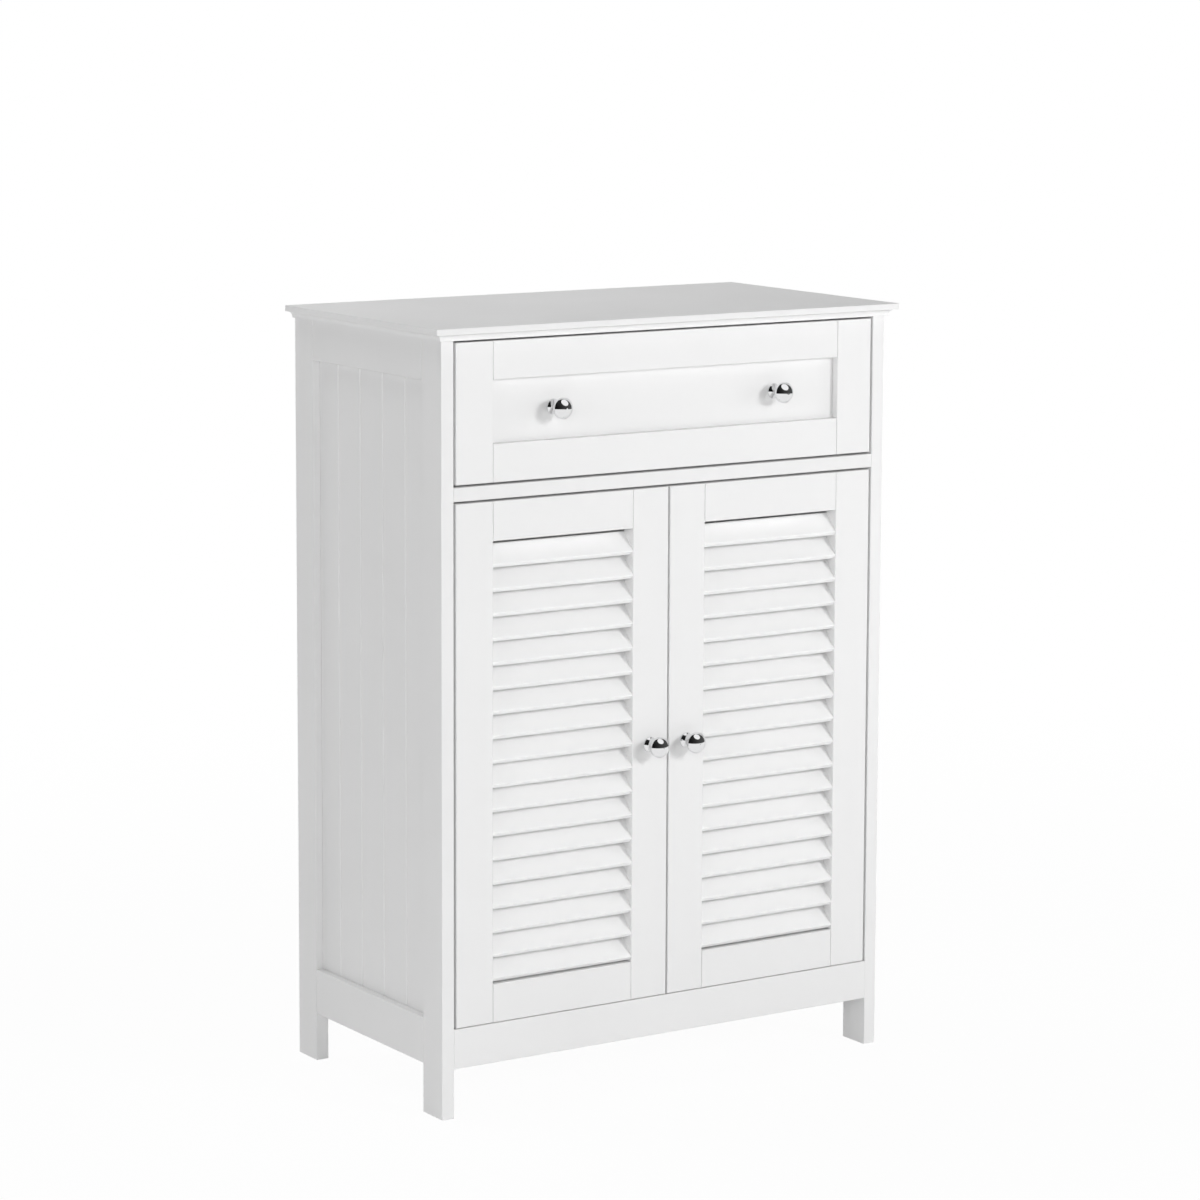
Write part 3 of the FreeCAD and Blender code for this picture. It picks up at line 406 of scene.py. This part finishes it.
# Natural moulded nylon: milky, with light just under its skin.
MOULDED_NYLON = Coating(
    name="moulded_nylon", tone="e6e4dc", drift="dddbd1", patch_mm=6.0,
    roughness=0.48, roughness_swing=0.05, grain_mm=0.7, grain_height_mm=0.008,
    ior=1.53, subsurface=0.15)

# Beech rod: pale brown with close flecked grain.
BARE_BEECH = BareWood(
    name="bare_beech", tone="cfa878", drift="b98f60", patch_mm=12.0,
    roughness=0.62, roughness_swing=0.05, grain_mm=1.0, grain_height_mm=0.03,
    stretch=(0.15, 1.0, 1.0))


@dataclass
class Finishes:
    """All finishes of the cabinet, put on the solids by their slots."""

    nodes: dict[str, bpy.types.Object]

    def by_slot(self) -> dict[Slot, Finish]:
        """The finish of each slot that looks the same on every piece."""
        return {
            Slot.PAINTED_WOOD: SATIN_LACQUER,
            Slot.PAINTED_BOARD: MELAMINE_BOARD,
            Slot.BOX_BOARD: FOILED_BOARD,
            Slot.KNOB_CHROME: CHROME_PLATE,
            Slot.HINGE_STEEL: NICKEL_PLATE,
            Slot.SCREW_STEEL: ZINC_PLATE,
            Slot.CAM_ZINC: CAST_ZINC,
            Slot.RUNNER_STEEL: EPOXY_POWDER,
            Slot.ROLLER_NYLON: MOULDED_NYLON,
            Slot.DOWEL_BEECH: BARE_BEECH,
        }

    def thin_boards(self) -> dict[str, OneFacedBoard]:
        """The finishes of the two thin boards, bare on the face turned away.

        Returns:
            A finish for each node.  Its level lies just under the bare face.
        """
        skin = 0.3 * MM
        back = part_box("back_panel")[1].y - skin
        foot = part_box("drawer_bottom")[0].z + skin
        common = {"tone": "eeeeec", "drift": "e8e8e5", "patch_mm": 140.0,
                  "roughness": 0.55, "roughness_swing": 0.04,
                  "grain_mm": 1.8, "grain_height_mm": 0.03}
        return {
            "back_panel": OneFacedBoard(
                name="coated_back_board", axis="Y", level=back, bare_above=True, **common),
            "drawer_bottom": OneFacedBoard(
                name="coated_drawer_bottom", axis="Z", level=foot, bare_above=False, **common),
        }

    def dress(self) -> None:
        """Give every solid its finish."""
        built = {slot.value: finish.build() for slot, finish in self.by_slot().items()}
        own = {name: finish.build() for name, finish in self.thin_boards().items()}
        # The slats take the lacquer in a brighter white: painted light that makes up for the
        # shade they cast on one another.
        slats = SLAT_LACQUER_PAINTED_LIGHT.build()
        own.update({"left_door_slats": slats, "right_door_slats": slats})
        for name, piece in sorted(self.nodes.items()):
            for slot in piece.material_slots:
                slot.material = own[name] if name in own else built[slot.material.name]
            LOG.info("%s: %s", name, piece.material_slots[0].material.name)


# ---- Studio ----------------------------------------------------------------
@dataclass
class Lamp:
    """A square soft light that faces the cabinet.

    Its level is how bright it makes a white wall that faces it, where 1 is white.
    """

    name: str
    azimuth: float
    elevation: float
    distance: float
    side: float
    level: float

    def build(self, target: Vector) -> bpy.types.Object:
        """Hang the lamp and turn it to the target.

        Args:
            target: the point that it faces.

        Returns:
            The lamp.
        """
        away = way_to(self.azimuth, self.elevation)
        light = bpy.data.lights.new(self.name, "AREA")
        light.shape = "SQUARE"
        light.size = self.side
        light.energy = self.level * math.pi ** 2 * self.distance ** 2
        lamp = bpy.data.objects.new(self.name, light)
        lamp.location = target + away * self.distance
        lamp.rotation_euler = away.to_track_quat("Z", "Y").to_euler()
        lamp.visible_glossy = False
        bpy.context.scene.collection.objects.link(lamp)
        return lamp


@dataclass
class Studio:
    """A white floor, a white background, soft lamps, and cards that paint the chrome's
    reflections.
    """

    circle_points: int = 96
    floor_radius: float = 6.0
    clear_radius: float = 0.5
    white_radius: float = 2.4
    floor_tone: str = "f6f6f6"
    floor_glow: float = 0.96
    sky_level: float = 0.05
    card_radius: float = 5.0
    card_segments: int = 64
    card_foot: float = 0.02
    hood_back: float = 3.2
    card_dark: float = 0.004
    card_pale: float = 0.09
    panel_azimuth: float = 22.0
    panel_elevation: float = 55.0
    panel_distance: float = 1.8
    panel_radius: float = 0.9
    panel_level: float = 1.1

    def lamps(self) -> list[Lamp]:
        """A low key from the right, fills in front and at both sides, one above, two behind."""
        return [
            Lamp("key_lamp", azimuth=24.0, elevation=18.5, distance=3.5, side=0.9, level=0.39),
            Lamp("front_fill", azimuth=-33.0, elevation=13.0, distance=4.5, side=1.5, level=0.22),
            Lamp("left_fill", azimuth=-70.0, elevation=12.0, distance=4.5, side=2.0, level=0.19),
            Lamp("right_fill", azimuth=60.0, elevation=6.0, distance=4.5, side=2.0, level=0.20),
            Lamp("top_lamp", azimuth=-10.0, elevation=75.0, distance=4.5, side=3.0, level=0.05),
            Lamp("back_lamp", azimuth=-150.0, elevation=55.0, distance=4.5, side=2.5, level=0.36),
            Lamp("rear_fill", azimuth=155.0, elevation=15.0, distance=4.5, side=2.5, level=0.32),
        ]

    def build(self, target: Vector) -> None:
        """Set up everything round the cabinet.

        Args:
            target: the point that the lamps face.
        """
        self.build_sky()
        self.build_floor()
        self.build_cards(target)
        for lamp in self.lamps():
            lamp.build(target)
            LOG.info("lamp %s", lamp.name)

    def build_sky(self) -> None:
        """White wherever it is seen, directly or in metal, and softer as a light."""
        world = bpy.data.worlds.new("white_studio")
        bpy.context.scene.world = world
        world.use_nodes = True
        tree = world.node_tree
        tree.nodes.clear()
        strength = self.seen_or(tree, self.sky_level)
        sky = add_node(tree, "ShaderNodeBackground", None,
                       {"Color": linear("ffffff"), "Strength": strength})
        add_node(tree, "ShaderNodeOutputWorld", None, {"Surface": sky.outputs["Background"]})

    def seen_or(self, tree: bpy.types.NodeTree, otherwise: float) -> bpy.types.NodeSocket:
        """1 for rays that see the background, another level for those that light.

        Args:
            tree: the node tree.
            otherwise: the level for all other rays.

        Returns:
            The output that carries the level.
        """
        seen = self.seen(tree)
        level = add_node(tree, "ShaderNodeMapRange", None,
                         {"Value": seen, "To Min": otherwise, "To Max": 1.0})
        return level.outputs["Result"]

    def seen(self, tree: bpy.types.NodeTree) -> bpy.types.NodeSocket:
        """1 for camera, glossy and transmission rays."""
        path = add_node(tree, "ShaderNodeLightPath")
        first = add_node(tree, "ShaderNodeMath", {"operation": "MAXIMUM"},
                         {0: path.outputs["Is Camera Ray"], 1: path.outputs["Is Glossy Ray"]})
        both = add_node(tree, "ShaderNodeMath", {"operation": "MAXIMUM"},
                        {0: first.outputs["Value"], 1: path.outputs["Is Transmission Ray"]})
        return both.outputs["Value"]

    def build_floor(self) -> None:
        """A round white floor that keeps a faint shadow near the cabinet."""
        deselect_all()
        bpy.ops.mesh.primitive_circle_add(vertices=self.circle_points, radius=self.floor_radius,
                                          fill_type="NGON", location=(0, 0, 0))
        floor = bpy.context.object
        floor.name = "studio_floor"
        floor.data.materials.append(self.floor_material())
        floor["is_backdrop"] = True

    def floor_material(self) -> bpy.types.Material:
        """White paper: it glows for rays that see it, fully white further out."""
        material, tree = empty_material("studio_paper")
        coords = add_node(tree, "ShaderNodeTexCoord").outputs["Object"]
        reach = add_node(tree, "ShaderNodeVectorMath", {"operation": "LENGTH"}, {0: coords})
        fade = add_node(tree, "ShaderNodeMapRange", {"interpolation_type": "SMOOTHSTEP"},
                        {"Value": reach.outputs["Value"], "From Min": self.clear_radius,
                         "From Max": self.white_radius, "To Min": self.floor_glow,
                         "To Max": 1.0})
        share = add_node(tree, "ShaderNodeMath", {"operation": "MULTIPLY"},
                         {0: fade.outputs["Result"], 1: self.seen(tree)})
        paper = add_node(tree, "ShaderNodeBsdfDiffuse", None,
                         {"Color": linear(self.floor_tone)})
        white = add_node(tree, "ShaderNodeEmission", None, {"Color": linear("ffffff")})
        mix = add_node(tree, "ShaderNodeMixShader", None,
                       {0: share.outputs["Value"], 1: paper.outputs["BSDF"],
                        2: white.outputs["Emission"]})
        add_node(tree, "ShaderNodeOutputMaterial", None, {"Surface": mix.outputs["Shader"]})
        return material

    def build_cards(self, target: Vector) -> None:
        """A dark hood and a round white panel that only reflections show.  They paint the
        chrome's
        reflections: a painted dark reflection, paler to the right, and a painted highlight.

        Args:
            target: the point that the panel faces.
        """
        deselect_all()
        bpy.ops.mesh.primitive_uv_sphere_add(segments=self.card_segments,
                                             ring_count=self.card_segments // 2,
                                             radius=self.card_radius, location=(0, 0, 0))
        hood = bpy.context.object
        hood.name = "dark_hood"
        bpy.ops.object.mode_set(mode="EDIT")
        bpy.ops.mesh.select_all(action="SELECT")
        bpy.ops.mesh.bisect(plane_co=(0, 0, self.card_foot), plane_no=(0, 0, 1), clear_inner=True)
        bpy.ops.mesh.select_all(action="SELECT")
        bpy.ops.mesh.bisect(plane_co=(0, self.hood_back, 0), plane_no=(0, 1, 0), clear_outer=True)
        bpy.ops.object.mode_set(mode="OBJECT")
        # The hood's glow is a painted dark reflection in the chrome, paler towards the right.
        hood.data.materials.append(self.glow("painted_dark_reflection", self.card_dark, self.card_pale))
        away = way_to(self.panel_azimuth, self.panel_elevation)
        deselect_all()
        bpy.ops.mesh.primitive_circle_add(vertices=self.card_segments, radius=self.panel_radius,
                                          fill_type="NGON",
                                          location=target + away * self.panel_distance,
                                          rotation=away.to_track_quat("Z", "Y").to_euler())
        panel = bpy.context.object
        panel.name = "white_panel"
        # The panel's glow is a painted highlight in the chrome; it lights nothing.
        panel.data.materials.append(self.glow("painted_highlight_glow", self.panel_level, self.panel_level))
        for card in (hood, panel):
            card.visible_camera = False
            card.visible_diffuse = False
            card.visible_shadow = False
            card.visible_transmission = False
            card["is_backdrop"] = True

    def glow(self, name: str, left: float, right: float) -> bpy.types.Material:
        """A white glow whose strength changes from the left end to the right end.  Only
        reflections
        show it: on the hood it is a painted dark reflection, on the panel a painted highlight.

        Args:
            name: the material's name.
            left: its strength at the left end of the hood.
            right: its strength at the right end of the hood.

        Returns:
            The material.
        """
        material, tree = empty_material(name)
        coords = add_node(tree, "ShaderNodeTexCoord").outputs["Object"]
        split = add_node(tree, "ShaderNodeSeparateXYZ", None, {"Vector": coords})
        level = add_node(tree, "ShaderNodeMapRange", None,
                         {"Value": split.outputs["X"], "From Min": -self.card_radius,
                          "From Max": self.card_radius, "To Min": left, "To Max": right})
        lit = add_node(tree, "ShaderNodeEmission", None,
                       {"Color": linear("ffffff"), "Strength": level.outputs["Result"]})
        add_node(tree, "ShaderNodeOutputMaterial", None, {"Surface": lit.outputs["Emission"]})
        return material


@dataclass(frozen=True)
class Viewpoint:
    """Where the camera stands and how it looks at the cabinet."""

    place: Triple = (-2.3971, -3.6887, 1.2478)
    azimuth: float = 33.057
    dip: float = 7.688
    roll: float = 0.222
    lens_mm: float = 119.39
    sensor_mm: float = 36.0
    shift_up: float = -0.10
    far_limit: float = 100.0

    def build(self) -> bpy.types.Object:
        """Place the camera and make it the scene's own.

        Returns:
            The camera.
        """
        data = bpy.data.cameras.new("camera")
        data.lens = self.lens_mm
        data.sensor_width = self.sensor_mm
        data.shift_y = self.shift_up
        data.clip_end = self.far_limit
        camera = bpy.data.objects.new("camera", data)
        turn = Matrix.Rotation(math.radians(-self.azimuth), 4, "Z")
        tilt = Matrix.Rotation(math.radians(90.0 - self.dip), 4, "X")
        roll = Matrix.Rotation(math.radians(self.roll), 4, "Z")
        camera.matrix_world = Matrix.Translation(self.place) @ turn @ tilt @ roll
        bpy.context.scene.collection.objects.link(camera)
        bpy.context.scene.camera = camera
        return camera


def main() -> None:
    """Dress the cabinet, build its studio and place the camera."""
    logging.basicConfig(level=logging.INFO, format="%(name)s: %(message)s")
    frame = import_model()
    solid_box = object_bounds()
    Finishes(frame["nodes"]).dress()
    middle = (solid_box[0] + solid_box[1]) / 2
    Studio().build(middle)
    Viewpoint().build()
    bpy.context.scene.view_settings.view_transform = "Standard"


if __name__ == "__main__":
    main()
